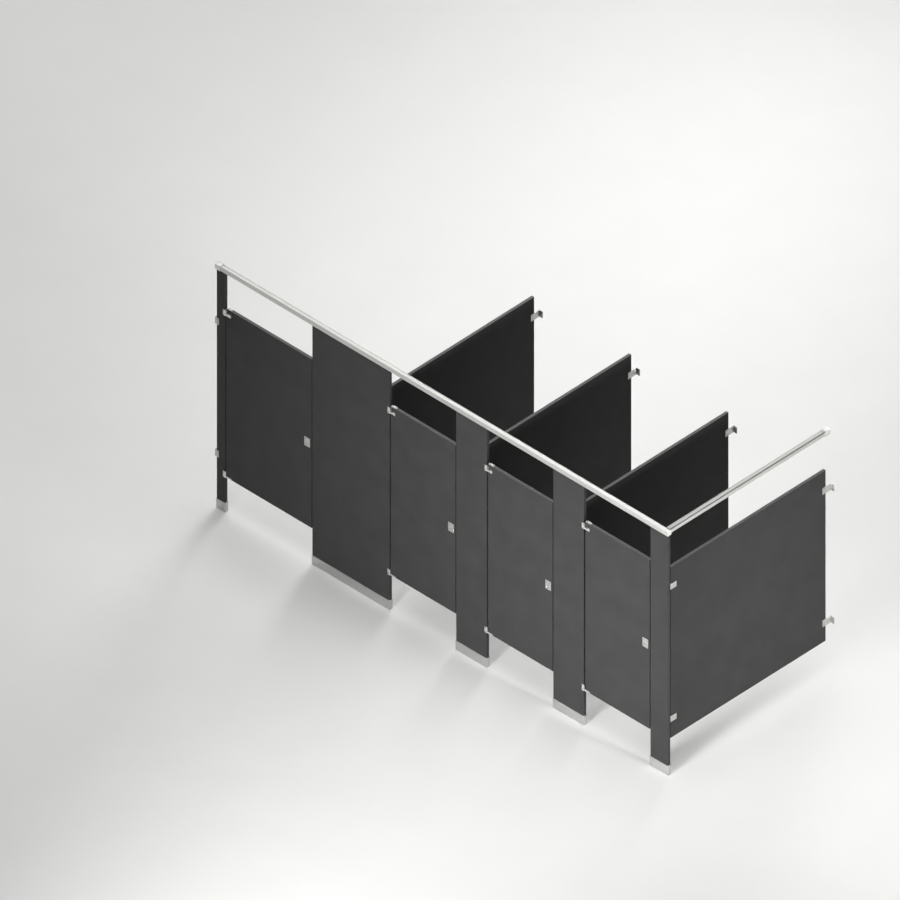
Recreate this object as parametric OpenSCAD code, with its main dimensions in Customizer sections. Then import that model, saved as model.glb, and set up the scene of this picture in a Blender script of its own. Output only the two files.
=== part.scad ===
// Washroom cubicle run: five pilasters, four doors, three dividers and an end panel of solid
// plastic sheet, tied together by an aluminium headrail. All sizes are in millimetres.
// Drawn from the corner where the side plane meets the front faces of the pilasters: X runs
// along the front, Y runs into the depth and Z stands on the ground. At the end everything is
// moved so that the origin is the middle of the underside.

/* [Layout along the front] */
// Gap between the side plane and the first pilaster
side_gap = 12.7; // [8:0.1:24]
// Width of the first pilaster
first_pilaster_w = 80; // [74:1:160]
// Width of the wide door of the first cubicle
wide_door_w = 812.8; // [760:0.1:860]
// Width of the three standard doors
door_w = 615.95; // [560:0.05:650]
// Gap between a pilaster and the hinged edge of a door
hinge_gap = 12.7; // [12.4:0.1:18]
// Gap between the free edge of a door and the next pilaster
latch_gap = 6.35; // [4:0.05:9]
// Distance from the side plane to the middle of the first divider
first_divider_x = 1524; // [1420:1:1800]
// Distance between the middles of neighbouring dividers
cubicle_pitch = 927.1; // [900:0.1:1050]
// Reach of a pilaster past the middle of the divider behind it
pilaster_reach = 138; // [100:1:170]

/* [Depth] */
// Distance from the front faces to the rear plane
run_depth = 1600; // [1300:1:1900]
// Gap between the rear edge of a panel and the rear plane
rear_gap = 51; // [20:1:70]
// Gap between a panel's front edge and the web of its channel bracket
front_panel_gap = 0.4; // [0.2:0.1:4]

/* [Heights] */
// Height of the lower edges of doors and panels above the ground
ground_clearance = 304.8; // [240:0.1:360]
// Height of the dividers and the end panel
panel_h = 1473.2; // [1300:0.1:1600]
// Height of the doors
door_h = 1457.2; // [1300:0.1:1600]
// Height of the headrail's lower edge above the ground
headrail_z = 2062; // [2000:1:2200]
// Height of the pilasters' feet above the ground
foot_z = 40; // [36:1:60]

/* [Sheet] */
// Thickness of the pilasters, doors and panels
sheet_t = 25.4; // [24:0.1:28]
// Radius of the machined edges of the sheets
edge_r = 3; // [1:0.5:5]

/* [Headrail] */
// Width of the headrail's section
rail_w = 37; // [36:0.5:44]
// Height of the section's ridged side
rail_h = 36; // [34:0.5:44]
// Thickness of the section's walls
rail_wall = 3; // [2:0.25:3]
// Depth of the channel that takes the pilasters' tops
rail_channel_d = 20; // [14:0.5:22]
// Height of the ridge above the section's top
rail_ridge_h = 1.5; // [0.5:0.5:3]
// Width of the ridge
rail_ridge_w = 2.5; // [1:0.5:4]
// Width of the groove along the section's other side
rail_groove_w = 6; // [4:0.5:7]
// Depth of the groove below the section's top
rail_groove_d = 12; // [8:0.5:13]
// Drop of the groove's outer lip below the section's top
rail_lip_drop = 3.7; // [1:0.1:6]
// How much shorter the grooved side ends than the ridged side
rail_short_side = 4.5; // [0:0.5:8]
// Distance from the run's outer end to the return rail
return_inset = 8.3; // [2:0.1:30]
// Thickness of the cap on the front rail's outer end
rail_cap_t = 2; // [1:0.5:4]
// Length of the sockets that hold the rails' ends
socket_l = 51; // [30:1:70]
// Wall thickness of the sockets
socket_wall = 2; // [1.5:0.5:4]
// Thickness of the sockets' end plates
socket_plate_t = 4; // [3:0.5:8]
// Clearance between a rail and its socket
socket_play = 0.3; // [0.1:0.1:0.8]
// Distance between the two fixing holes of a socket
socket_hole_pitch = 18; // [14:1:20]
// Length of the bracket inside the corner of the headrail
corner_leg = 60; // [40:1:90]
// Thickness of the corner bracket
corner_t = 3; // [2:0.5:4]

/* [Shoes and feet] */
// Height of the shoes
shoe_h = 80; // [72:1:110]
// How far a shoe stands out from its pilaster
shoe_proud = 3.5; // [2.5:0.1:6]
// Thickness of the shoes' sheet
shoe_wall = 1.5; // [1:0.1:2]
// Height of the turned-in lip that meets the pilaster
shoe_lip_h = 2; // [1:0.5:4]
// Thickness of the foot bars
foot_bar_t = 6; // [4:0.5:8]
// Width of the foot bars
foot_bar_w = 20; // [18:0.5:22]
// Distance from a foot bar's end to the pilaster's edge
foot_bar_inset = 6; // [3:0.5:8]
// Radius of the levelling studs
stud_r = 4.76; // [4:0.01:5]
// Distance from a levelling stud to the pilaster's edge
stud_inset = 14; // [12:0.5:16]
// Reach of a levelling stud into the pilaster
stud_reach = 55; // [30:1:80]
// Distance between a levelling stud and the ground anchor's hole
anchor_offset = 16; // [14:0.5:18]
// Radius of the ground anchors' holes
anchor_hole_r = 4; // [3:0.1:4.5]
// Height of the levelling nuts
nut_h = 8; // [6:0.5:10]
// Radius over the corners of the levelling nuts
nut_r = 8.5; // [7.5:0.1:9]

/* [Panel brackets] */
// Distance from a bracket's middle to the panel's upper or lower edge
bracket_offset = 165; // [80:1:300]
// Height of the angle brackets
angle_h = 56; // [44:1:70]
// Thickness of the angle brackets
angle_t = 4; // [3:0.5:6]
// Length of an angle bracket on the sheet that it holds
angle_ear_l = 35; // [24:1:50]
// Width of an angle bracket's leg on the rear plane
angle_leg_w = 32; // [28:1:45]
// Reach of a side bracket's leg behind the front face
side_leg_l = 30; // [28:1:36]
// Reach of a side bracket's ear over the first pilaster
side_ear_l = 23; // [20:1:34]
// Distance from a rear fixing hole to the panel's face
angle_hole_x = 19; // [16:0.5:24]
// Height between the two holes of an angle bracket
angle_hole_pitch = 28; // [20:1:34]
// Radius of the fixing holes in brackets and sockets
fixing_hole_r = 3; // [2.5:0.1:3.5]
// Height of the channel brackets
channel_h = 48; // [40:1:60]
// Length of the channel brackets' ears
channel_ear_l = 57; // [40:1:70]
// Thickness of the channel brackets
channel_t = 3.2; // [2.5:0.1:5]
// Height between the screws in a channel bracket's web
channel_screw_pitch = 26; // [20:1:34]

/* [Hinges] */
// Distance from a door's hinged edge to its pivot axis
pivot_inset = 28; // [26:0.5:34]
// Height of a hinge bracket's plate
hinge_h = 50; // [44:1:70]
// Width of a hinge bracket's flanges on the pilaster
hinge_flange_w = 16; // [13:1:34]
// Thickness of a hinge bracket's flanges
hinge_flange_t = 4; // [3:0.5:6]
// Thickness of a hinge bracket's web beside the pilaster
hinge_web_t = 9.7; // [8:0.1:10]
// Height of a hinge bracket's arm
hinge_arm_h = 12; // [9:0.5:14]
// Reach of the arm past the pivot axis
hinge_arm_reach = 11.5; // [11:0.5:18]
// How far the arm stays inside the door's faces
hinge_arm_inset = 0.5; // [0.5:0.1:3]
// Height of the eye on the upper bracket's arm
hinge_eye_h = 13; // [8:0.5:18]
// Width of the eye
hinge_eye_w = 21.5; // [19:0.5:30]
// Distance from the upper bracket's underside to the top of the door
upper_hinge_drop = 63; // [58:0.5:90]
// Distance from the lower bracket's underside to the underside of the door
lower_hinge_drop = 2.8; // [0.5:0.1:5]
// Distance between the bolts of a hinge bracket
hinge_bolt_pitch = 30; // [22:1:38]
// Radius of the hinge pins
pin_r = 6; // [5:0.1:7]
// Running clearance round a hinge pin
pin_play = 0.05; // [0.02:0.01:0.1]
// Clearance above and below an arm in the door's notches
notch_play = 2; // [1:0.1:4]
// Clearance past the arm's end as the door swings
swing_play = 1.4; // [0.5:0.1:3]
// Depth of the door's relief beside a hinge bracket
hinge_relief = 7; // [6:0.1:10]
// Length of the cap on top of a door
cap_l = 38; // [34:1:60]
// Width of the cap
cap_w = 17; // [14:0.5:22]
// Thickness of the cap
cap_t = 4; // [3:0.5:8]
// Distance from the pivot axis to a cap screw
cap_screw_x = 12; // [11:0.5:19]
// Radius of the nylon cam on the lower arm
cam_r = 10; // [8.5:0.1:10.5]
// Height of the nylon cam
cam_h = 5; // [3:0.1:8]
// Gap between the cam and the door's insert
cam_play = 0.4; // [0.3:0.05:0.6]
// Radius of the door's nylon insert
insert_r = 11; // [10.9:0.1:11.5]
// Length of the door's nylon insert
insert_l = 30; // [20:1:45]
// Closed end of the insert above its bore
insert_end = 3; // [2:0.5:6]
// Gap between the lower pin's tip and the insert's closed end
pin_tip_play = 2; // [1:0.1:3]

/* [Latches] */
// Height of the latches' middle above the ground
latch_z = 1030; // [850:1:1150]
// Width of the outside plate
plate_w = 54; // [46:1:58]
// Height of the outside plate
plate_h = 77; // [66:1:90]
// Thickness of the outside plate
plate_t = 3; // [1.5:0.1:4]
// Distance from the outside plate to the door's free edge
plate_inset = 13; // [8:0.5:18]
// Radius of the release button on the outside plate
button_r = 7; // [5:0.5:9]
// How far the release button stands out
button_t = 2; // [1:0.1:3]
// Distance of the release button below the plate's middle
button_drop = 12; // [0:0.5:16]
// Width of the coin slot in the release button
button_slot = 2; // [1:0.1:3]
// Width of the latch case
case_w = 72; // [66:1:84]
// Height of the latch case
case_h = 56; // [50:1:70]
// Depth of the latch case
case_d = 17; // [15:0.5:24]
// Distance from the latch case to the door's free edge
case_inset = 4; // [3:0.1:8]
// Thickness of the case under the bolt
case_base = 3.5; // [2:0.1:5]
// Length of the latch bolt
bolt_l = 44; // [40:1:50]
// Height of the latch bolt
bolt_h = 22; // [16:0.5:26]
// Thickness of the latch bolt
bolt_t = 8; // [6:0.1:9]
// Clearance round the latch bolt
bolt_play = 0.5; // [0.3:0.1:1]
// Travel of the latch bolt
bolt_travel = 24; // [18:0.5:26]
// Distance from the bolt's tip to its knob
knob_x = 32; // [30:0.5:36]
// Radius of the knob
knob_r = 8; // [6:0.5:10]
// Length of the knob
knob_l = 14; // [8:0.5:20]
// Radius of the stem between the bolt and the knob
stem_r = 4.5; // [3:0.1:5]
// Clearance round the stem in the case's slot
stem_play = 0.7; // [0.5:0.1:1]
// Distance of the case's screws from its middle, along the door
case_screw_x = 16; // [12:0.5:18]
// Distance of the case's screws from its middle, in height
case_screw_z = 21; // [19:0.5:23]
// Distance from a keeper to the edge of its pilaster
keeper_inset = 2; // [1:0.1:6]
// Width of a keeper
keeper_w = 34; // [30:1:44]
// Height of a keeper's housing
keeper_h = 38; // [34:1:50]
// Wall thickness at the keeper's closed end
keeper_wall = 3; // [2:0.5:5]
// Clearance round the bolt in the keeper
keeper_play = 1.5; // [1:0.1:3]
// Height of a keeper's screw ears
keeper_ear_h = 15; // [13:0.5:20]
// Thickness of a keeper's screw ears
keeper_ear_t = 3; // [2:0.5:4]

/* [Screws] */
// Radius of the screws' shanks
screw_r = 2.5; // [2:0.1:2.8]
// Radius of the screws' heads
screw_head_r = 5; // [4:0.1:5.5]
// Height of the screws' heads
screw_head_h = 2.5; // [1.5:0.1:3]
// Reach of the screws into the sheets
screw_reach = 18; // [10:1:20]
// Clearance round the screws' shanks
screw_play = 0.05; // [0.02:0.01:0.2]
// Clearance round a screw's head in a panel's front edge
head_play = 0.5; // [0.3:0.1:1]

/* [Hidden] */
$fn = 48;
e = 1;
door_count = 4;
standing_z = ground_clearance;
panel_top = standing_z + panel_h;
door_top = standing_z + door_h;
rail_top = headrail_z + rail_h;
pilaster_top = headrail_z + rail_channel_d;
rail_front_y = -rail_wall;
rail_back_y = rail_front_y + rail_w;
panel_front_y = sheet_t + channel_t + front_panel_gap;
panel_rear_y = run_depth - rear_gap;
pivot_y = sheet_t / 2;
end_divider_x = first_divider_x + 3 * cubicle_pitch;
run_end_x = end_divider_x + sheet_t / 2;
front_rail_end_x = run_end_x + rail_cap_t;
return_x0 = run_end_x - return_inset - rail_w;
bracket_zs = [standing_z + bracket_offset, panel_top - bracket_offset];
hole_r = screw_r + screw_play;

upper_hinge_z = door_top - upper_hinge_drop;
lower_hinge_z = standing_z - lower_hinge_drop;
upper_notch_z0 = upper_hinge_z - notch_play;
upper_notch_z1 = upper_hinge_z + hinge_arm_h + hinge_eye_h + notch_play;
lower_notch_z1 = lower_hinge_z + hinge_arm_h + notch_play;
lower_relief_z1 = lower_hinge_z + hinge_h + notch_play;
arm_half = sheet_t / 2 - hinge_arm_inset;
notch_l = pivot_inset + norm([hinge_arm_reach, arm_half]) + swing_play;
cam_z = lower_hinge_z + hinge_arm_h;
insert_z = cam_z + cam_h + cam_play;
pin_top = insert_z + insert_l - insert_end - pin_tip_play;

bolt_y = sheet_t + case_base + bolt_play;
stem_l = sheet_t + case_d + 1.5 - bolt_y - bolt_t;

// Where the origin lies, seen from the corner that everything is drawn from
extent_x = run_end_x + angle_leg_w;
front_reach = max(hinge_flange_t, angle_t, plate_t) + screw_head_h;
origin_x = extent_x / 2;
origin_y = (run_depth - front_reach) / 2;

sheet_color = [0.24, 0.24, 0.235];
rail_color = [0.87, 0.87, 0.85];
steel_color = [0.74, 0.74, 0.73];
nylon_color = [0.12, 0.12, 0.12];

// Widths and edges of the numbered sheets along the front
function divider_x(k) = first_divider_x + (k - 1) * cubicle_pitch;
function width_of_door(k) = k == 1 ? wide_door_w : door_w;
function pilaster_right(k) =
  k == 1 ? side_gap + first_pilaster_w :
  k == 5 ? run_end_x : divider_x(k - 1) + pilaster_reach;
function door_left(k) = pilaster_right(k) + hinge_gap;
function door_right(k) = door_left(k) + width_of_door(k);
function pilaster_left(k) = k == 1 ? side_gap : door_right(k - 1) + latch_gap;
function pivot_x(k) = door_left(k) + pivot_inset;
function stud_xs(k) = [pilaster_left(k) + stud_inset, pilaster_right(k) - stud_inset];
function anchor_xs(k) = [
  pilaster_left(k) + stud_inset + anchor_offset, pilaster_right(k) - stud_inset - anchor_offset
];
function hinge_bolt_zs(z0) = [
  z0 + hinge_h / 2 - hinge_bolt_pitch / 2, z0 + hinge_h / 2 + hinge_bolt_pitch / 2
];
function rail_screw_xs(k) =
  k == 1 ? [pilaster_right(1) - stud_inset] :
  [anchor_xs(k)[0], k == 5 ? return_x0 - anchor_offset : anchor_xs(k)[1]];

// Moves a drawing to the finished frame
module placed() {
  translate([-origin_x, -origin_y, 0]) children();
}

// Box between two corners
module block(a, b) {
  translate(a) cube(b - a);
}

// Flat outline with rounded corners, its own corner on the origin
module rounded_outline(w, d, r) {
  translate([r, 0]) square([w - 2 * r, d]);
  translate([0, r]) square([w, d - 2 * r]);
  for (x = [r, w - r], y = [r, d - r]) translate([x, y]) circle(r = r);
}

// Sheet between two corners with all its long edges machined round
module sheet(a, b) {
  size = b - a;
  translate(a) intersection() {
    linear_extrude(size[2]) rounded_outline(size[0], size[1], edge_r);
    if (size[0] > size[1])
      rotate([90, 0, 90]) linear_extrude(size[0]) rounded_outline(size[1], size[2], edge_r);
    else
      translate([0, size[1], 0]) rotate([90, 0, 0])
        linear_extrude(size[1]) rounded_outline(size[0], size[2], edge_r);
  }
}

// Round bar or bore from a point along an axis direction
module rod(at, dir, r, l) {
  translate(at)
    rotate(dir[0] != 0 ? [0, 90 * dir[0], 0] : dir[1] != 0 ? [-90 * dir[1], 0, 0]
      : [dir[2] > 0 ? 0 : 180, 0, 0])
      cylinder(r = r, h = l);
}

// Pan-head screw whose head sits on a face, with its shank along the direction
module screw(at, dir, reach) {
  rod(at, dir, screw_r, reach);
  rod(at, -dir, screw_head_r, screw_head_h);
}

// Bolt with a head on each of two faces a grip apart
module through_bolt(at, dir, grip) {
  rod(at, dir, screw_r, grip);
  rod(at, -dir, screw_head_r, screw_head_h);
  rod(at + dir * grip, dir, screw_head_r, screw_head_h);
}

// Upright sheet of the front, drilled for its screws, bolts and levelling studs
module pilaster(k) {
  color(sheet_color) placed() difference() {
    sheet([pilaster_left(k), 0, foot_z], [pilaster_right(k), sheet_t, pilaster_top]);
    for (x = stud_xs(k)) rod([x, pivot_y, foot_z - e], [0, 0, 1], stud_r + screw_play, stud_reach + e);
    for (x = rail_screw_xs(k))
      rod([x, sheet_t + e, headrail_z + rail_channel_d / 2], [0, -1, 0], hole_r, screw_reach + e);
    if (k < 5) for (z0 = [upper_hinge_z, lower_hinge_z], z = hinge_bolt_zs(z0))
      rod([pilaster_right(k) - hinge_flange_w / 2, -e, z], [0, 1, 0], hole_r, sheet_t + 2 * e);
    if (k > 1) for (s = [-1, 1])
      rod([keeper_screw_x(k - 1), sheet_t + e, keeper_screw_z(s)], [0, -1, 0], hole_r, screw_reach + e);
    if (k > 1) for (z = bracket_zs, s = [-1, 1])
      rod([divider_x(k - 1), sheet_t + e, z + s * channel_screw_pitch / 2], [0, -1, 0],
        hole_r, screw_reach + e);
    if (k == 1) for (z = bracket_zs, s = [-1, 1])
      rod([side_gap + side_ear_l / 2, -e, z + s * angle_hole_pitch / 2], [0, 1, 0],
        hole_r, screw_reach + e);
  }
}

// Sheet-metal sleeve round a pilaster's foot
module shoe(k) {
  x0 = pilaster_left(k);
  x1 = pilaster_right(k);
  inner = shoe_proud - shoe_wall;
  color(steel_color) placed() difference() {
    block([x0 - shoe_proud, -shoe_proud, 0], [x1 + shoe_proud, sheet_t + shoe_proud, shoe_h]);
    block([x0 - inner, -inner, -e], [x1 + inner, sheet_t + inner, shoe_h - shoe_lip_h]);
    block([x0, 0, -e], [x1, sheet_t, shoe_h + e]);
  }
}

// Bars under the pilasters, drilled for the studs and the ground anchors
module foot_bars() {
  color(steel_color) placed() for (k = [1:5]) difference() {
    block([pilaster_left(k) + foot_bar_inset, pivot_y - foot_bar_w / 2, 0],
      [pilaster_right(k) - foot_bar_inset, pivot_y + foot_bar_w / 2, foot_bar_t]);
    for (x = stud_xs(k)) rod([x, pivot_y, -e], [0, 0, 1], stud_r + screw_play, foot_bar_t + 2 * e);
    for (x = anchor_xs(k)) rod([x, pivot_y, -e], [0, 0, 1], anchor_hole_r, foot_bar_t + 2 * e);
  }
}

module levelling_studs() {
  color(steel_color) placed() for (k = [1:5], x = stud_xs(k))
    rod([x, pivot_y, 0], [0, 0, 1], stud_r, foot_z + stud_reach);
}

// A nut clamps each stud to its bar, and a second one carries the pilaster
module levelling_nuts() {
  color(steel_color) placed() for (k = [1:5], x = stud_xs(k), z = [foot_bar_t, foot_z - nut_h])
    translate([x, pivot_y, z]) difference() {
      cylinder(r = nut_r, h = nut_h, $fn = 6);
      translate([0, 0, -e]) cylinder(r = stud_r + screw_play, h = nut_h + 2 * e);
    }
}

// Divider or end panel, with shallow seats in its front edge for the channel screws' heads
module panel(k) {
  x0 = divider_x(k) - sheet_t / 2;
  color(sheet_color) placed() difference() {
    sheet([x0, panel_front_y, standing_z], [x0 + sheet_t, panel_rear_y, panel_top]);
    for (z = bracket_zs) {
      rod([x0 - e, channel_bolt_y(), z], [1, 0, 0], hole_r, sheet_t + 2 * e);
      for (s = [-1, 1]) {
        rod([x0 + sheet_t + e, angle_screw_y(), z + s * angle_hole_pitch / 2], [-1, 0, 0],
          hole_r, screw_reach + e);
        rod([divider_x(k), panel_front_y - e, z + s * channel_screw_pitch / 2], [0, 1, 0],
          screw_head_r + head_play, e + max(0, screw_head_h + head_play - front_panel_gap));
      }
    }
  }
}

function channel_bolt_y() = (panel_front_y + sheet_t + channel_ear_l) / 2;
function angle_screw_y() = panel_rear_y - angle_ear_l / 2;

// Channel that is screwed to a pilaster's rear face and grips a panel's front edge
module channel_brackets() {
  color(steel_color) placed() for (k = [1:4], z = bracket_zs) {
    x0 = divider_x(k) - sheet_t / 2;
    difference() {
      block([x0 - channel_t, sheet_t, z - channel_h / 2],
        [x0 + sheet_t + channel_t, sheet_t + channel_ear_l, z + channel_h / 2]);
      block([x0, sheet_t + channel_t, z - channel_h / 2 - e],
        [x0 + sheet_t, sheet_t + channel_ear_l + e, z + channel_h / 2 + e]);
      rod([x0 - channel_t - e, channel_bolt_y(), z], [1, 0, 0], hole_r, sheet_t + 2 * channel_t + 2 * e);
      for (s = [-1, 1])
        rod([divider_x(k), sheet_t - e, z + s * channel_screw_pitch / 2], [0, 1, 0],
          hole_r, channel_t + 2 * e);
    }
  }
}

// Angle that ties a panel's rear edge across the gap to the rear plane
module rear_angle_brackets() {
  color(steel_color) placed() for (k = [1:4], z = bracket_zs) {
    x0 = divider_x(k) + sheet_t / 2;
    difference() {
      union() {
        block([x0, panel_rear_y - angle_ear_l, z - angle_h / 2],
          [x0 + angle_t, run_depth, z + angle_h / 2]);
        block([x0, run_depth - angle_t, z - angle_h / 2], [x0 + angle_leg_w, run_depth, z + angle_h / 2]);
      }
      for (s = [-1, 1]) {
        rod([x0 - e, angle_screw_y(), z + s * angle_hole_pitch / 2], [1, 0, 0], hole_r, angle_t + 2 * e);
        rod([x0 + angle_hole_x, run_depth + e, z + s * angle_hole_pitch / 2], [0, -1, 0],
          fixing_hole_r, angle_t + 2 * e);
      }
    }
  }
}

// Angle that ties the first pilaster to the side plane
module side_angle_brackets() {
  color(steel_color) placed() for (z = bracket_zs) difference() {
    union() {
      block([0, -angle_t, z - angle_h / 2], [side_gap + side_ear_l, 0, z + angle_h / 2]);
      block([0, -angle_t, z - angle_h / 2], [angle_t, side_leg_l, z + angle_h / 2]);
    }
    for (s = [-1, 1]) {
      rod([side_gap + side_ear_l / 2, -angle_t - e, z + s * angle_hole_pitch / 2], [0, 1, 0],
        hole_r, angle_t + 2 * e);
      rod([-e, side_leg_l / 2 + angle_t / 2, z + s * angle_hole_pitch / 2], [1, 0, 0],
        fixing_hole_r, angle_t + 2 * e);
    }
  }
}

// Section with its ridged side on the origin's vertical axis
module rail_section() {
  groove_x1 = rail_w - rail_wall;
  groove_x0 = groove_x1 - rail_groove_w;
  difference() {
    polygon([
      [0, 0], [0, rail_h + rail_ridge_h], [rail_ridge_w, rail_h + rail_ridge_h],
      [rail_ridge_w + rail_ridge_h, rail_h], [groove_x0, rail_h],
      [groove_x0, rail_h - rail_groove_d], [groove_x1, rail_h - rail_groove_d],
      [groove_x1, rail_h - rail_lip_drop], [rail_w, rail_h - rail_lip_drop],
      [rail_w, rail_short_side], [groove_x1, rail_short_side],
      [groove_x1, rail_channel_d], [rail_wall, rail_channel_d], [rail_wall, 0]
    ]);
    translate([rail_wall, rail_channel_d + rail_wall])
      square([groove_x0 - 2 * rail_wall, rail_h - rail_channel_d - 2 * rail_wall]);
  }
}

module headrail_front() {
  color(rail_color) placed() difference() {
    translate([socket_plate_t, rail_front_y, headrail_z])
      rotate([90, 0, 90]) linear_extrude(run_end_x - socket_plate_t) rail_section();
    for (k = [1:5], x = rail_screw_xs(k))
      rod([x, rail_back_y + e, headrail_z + rail_channel_d / 2], [0, -1, 0], hole_r, rail_wall + 2 * e);
    rod([corner_screw_x(), rail_back_y + e, corner_screw_z()], [0, -1, 0], hole_r, rail_wall + 2 * e);
  }
}

module headrail_return() {
  color(rail_color) placed() difference() {
    translate([return_x0, run_depth - socket_plate_t, headrail_z])
      rotate([90, 0, 0]) linear_extrude(run_depth - socket_plate_t - rail_back_y) rail_section();
    for (y = corner_leg_screw_ys())
      rod([return_x0 - e, y, corner_screw_z()], [1, 0, 0], hole_r, rail_wall + 2 * e);
  }
}

module headrail_end_cap() {
  color(rail_color) placed()
    block([run_end_x, rail_front_y, headrail_z], [front_rail_end_x, rail_back_y, rail_top + rail_ridge_h]);
}

function corner_screw_x() = return_x0 + rail_w / 2;
function corner_screw_z() = headrail_z + (rail_short_side + rail_channel_d) / 2;
function corner_leg_screw_ys() = [rail_back_y + corner_leg / 2, rail_back_y + corner_leg - 10];

// Angle inside the return rail that holds it to the front rail
module headrail_corner_bracket() {
  z0 = headrail_z + rail_short_side;
  z1 = headrail_z + rail_channel_d;
  color(steel_color) placed() difference() {
    union() {
      block([return_x0 + rail_wall, rail_back_y, z0],
        [return_x0 + rail_w - rail_wall, rail_back_y + corner_t, z1]);
      block([return_x0 + rail_wall, rail_back_y, z0],
        [return_x0 + rail_wall + corner_t, rail_back_y + corner_leg, z1]);
    }
    rod([corner_screw_x(), rail_back_y - e, corner_screw_z()], [0, 1, 0], hole_r, corner_t + 2 * e);
    for (y = corner_leg_screw_ys())
      rod([return_x0 + rail_wall - e, y, corner_screw_z()], [1, 0, 0], hole_r, corner_t + 2 * e);
  }
}

// Socket over a rail's end, open below, drawn along +X from its fixing plate
module rail_socket() {
  out = socket_wall + socket_play;
  difference() {
    block([0, -out, -out], [socket_l, rail_w + out, rail_h + rail_ridge_h + out]);
    block([socket_plate_t, -socket_play, -out - e],
      [socket_l + e, rail_w + socket_play, rail_h + rail_ridge_h + socket_play]);
    for (s = [-1, 1])
      rod([-e, rail_w / 2 + s * socket_hole_pitch / 2, rail_channel_d / 2], [1, 0, 0],
        fixing_hole_r, socket_plate_t + 2 * e);
  }
}

module headrail_sockets() {
  color(rail_color) placed() {
    translate([0, rail_front_y, headrail_z]) rail_socket();
    translate([return_x0, run_depth, headrail_z]) rotate([0, 0, -90]) rail_socket();
  }
}

// Bracket round a pilaster's edge, with an arm into the door's notch
module hinge_bracket(k, z0, with_eye) {
  xr = pilaster_right(k);
  xp = pivot_x(k);
  difference() {
    union() {
      difference() {
        block([xr - hinge_flange_w, -hinge_flange_t, z0],
          [xr + hinge_web_t, sheet_t + hinge_flange_t, z0 + hinge_h]);
        block([xr - hinge_flange_w - e, 0, z0 - e], [xr, sheet_t, z0 + hinge_h + e]);
      }
      block([xr + hinge_web_t - e, hinge_arm_inset, z0],
        [xp + hinge_arm_reach, sheet_t - hinge_arm_inset, z0 + hinge_arm_h]);
      if (with_eye)
        block([xp + hinge_arm_reach - hinge_eye_w, hinge_arm_inset, z0],
          [xp + hinge_arm_reach, sheet_t - hinge_arm_inset, z0 + hinge_arm_h + hinge_eye_h]);
    }
    rod([xp, pivot_y, z0 - e], [0, 0, 1], with_eye ? pin_r + pin_play : pin_r,
      hinge_arm_h + hinge_eye_h + 2 * e);
    for (z = hinge_bolt_zs(z0))
      rod([xr - hinge_flange_w / 2, -hinge_flange_t - e, z], [0, 1, 0], hole_r,
        sheet_t + 2 * hinge_flange_t + 2 * e);
  }
}

module upper_hinge_brackets() {
  color(steel_color) placed() for (k = [1:4]) hinge_bracket(k, upper_hinge_z, true);
}

module lower_hinge_brackets() {
  color(steel_color) placed() for (k = [1:4]) hinge_bracket(k, lower_hinge_z, false);
}

module lower_hinge_pins() {
  color(steel_color) placed() for (k = [1:4])
    rod([pivot_x(k), pivot_y, lower_hinge_z], [0, 0, 1], pin_r, pin_top - lower_hinge_z);
}

module lower_hinge_cams() {
  color(nylon_color) placed() for (k = [1:4]) difference() {
    rod([pivot_x(k), pivot_y, cam_z], [0, 0, 1], cam_r, cam_h);
    rod([pivot_x(k), pivot_y, cam_z - e], [0, 0, 1], pin_r, cam_h + 2 * e);
  }
}

module hinge_insert(k) {
  color(nylon_color) placed() difference() {
    rod([pivot_x(k), pivot_y, insert_z], [0, 0, 1], insert_r, insert_l);
    rod([pivot_x(k), pivot_y, insert_z - e], [0, 0, 1], pin_r + pin_play, insert_l - insert_end + e);
  }
}

// Cap on the door's top edge whose pin drops through the door into the upper bracket's eye
module hinge_cap(k) {
  xp = pivot_x(k);
  color(steel_color) placed() difference() {
    union() {
      block([xp - cap_l / 2, pivot_y - cap_w / 2, door_top],
        [xp + cap_l / 2, pivot_y + cap_w / 2, door_top + cap_t]);
      rod([xp, pivot_y, upper_hinge_z + e], [0, 0, 1], pin_r, door_top - upper_hinge_z);
    }
    for (s = [-1, 1])
      rod([xp + s * cap_screw_x, pivot_y, door_top - e], [0, 0, 1], hole_r, cap_t + 2 * e);
  }
}

// Door with its two hinge notches
module door(k) {
  x0 = door_left(k);
  xp = pivot_x(k);
  color(sheet_color) placed() difference() {
    sheet([x0, 0, standing_z], [door_right(k), sheet_t, door_top]);
    block([x0 - e, -e, upper_notch_z0], [x0 + notch_l, sheet_t + e, upper_notch_z1]);
    block([x0 - e, -e, upper_notch_z0], [x0 + hinge_relief, sheet_t + e, door_top + e]);
    block([x0 - e, -e, standing_z - e], [x0 + notch_l, sheet_t + e, lower_notch_z1]);
    block([x0 - e, -e, standing_z - e], [x0 + hinge_relief, sheet_t + e, lower_relief_z1]);
    rod([xp, pivot_y, upper_notch_z1 - e], [0, 0, 1], pin_r, door_top - upper_notch_z1 + 2 * e);
    rod([xp, pivot_y, lower_notch_z1 - e], [0, 0, 1], insert_r, insert_z + insert_l - lower_notch_z1 + e);
    for (s = [-1, 1])
      rod([xp + s * cap_screw_x, pivot_y, door_top + e], [0, 0, -1], hole_r, screw_reach + e);
    for (x = case_screw_xs(k), z = case_screw_zs())
      rod([x, -e, z], [0, 1, 0], hole_r, sheet_t + 2 * e);
  }
}

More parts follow.
